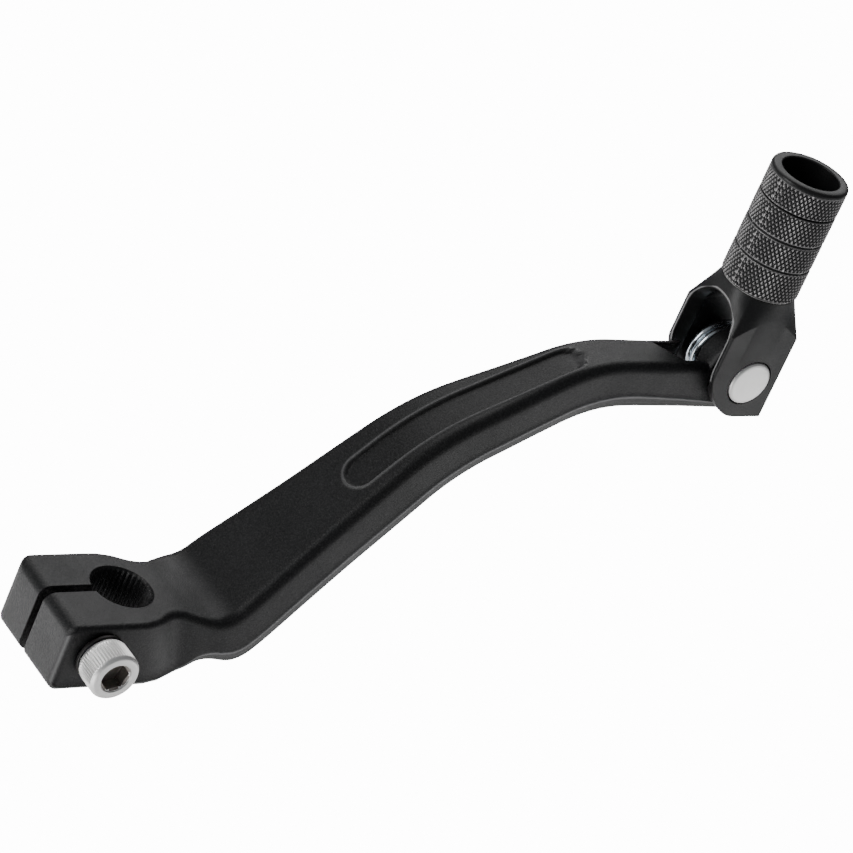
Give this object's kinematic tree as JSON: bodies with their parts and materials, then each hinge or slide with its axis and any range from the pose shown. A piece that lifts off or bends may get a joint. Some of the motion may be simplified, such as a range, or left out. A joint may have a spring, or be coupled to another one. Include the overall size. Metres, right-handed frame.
{
  "type": "gear shift lever",
  "caption": "Folding gear shift lever: split splined clamp with pinch bolt, bent forged arm, and a hollow knurled toe peg on a sprung pivot.",
  "frame": {"origin": "where the shift shaft bore's axis meets the clamp boss's outer face", "axes": "+Z along the bore's axis, the way the toe peg points; +X from the bore along the arm to the toe peg; +Y completes the right-handed set, away from the pinch bolt's head"},
  "size_m": [0.1478, 0.0304, 0.1101],
  "materials": {
    "arm": "satin black coat on a forged surface",
    "toe_peg": "black anodised, knurled",
    "pivot_rivet": "bright",
    "return_spring": "bright zinc plate",
    "pinch_bolt": "bright",
    "lock_washer": "black oxide"
  },
  "bodies": {
    "lever": {"arm": "arm", "pinch_bolt": "pinch_bolt", "lock_washer": "lock_washer", "return_spring": "return_spring", "pivot_rivet": "pivot_rivet"},
    "tip": {"toe_peg": "toe_peg"}
  },
  "joints": [
    {"name": "tip_fold", "type": "hinge", "parent": "lever", "child": "tip", "pos_m": [0.1224, 0, 0.0518], "axis": [0, -1, 0], "range_deg": [0, 50], "stiffness_Nm_per_rad": 0.25, "springref_deg": -20.05, "deforming": ["return_spring"]}
  ]
}
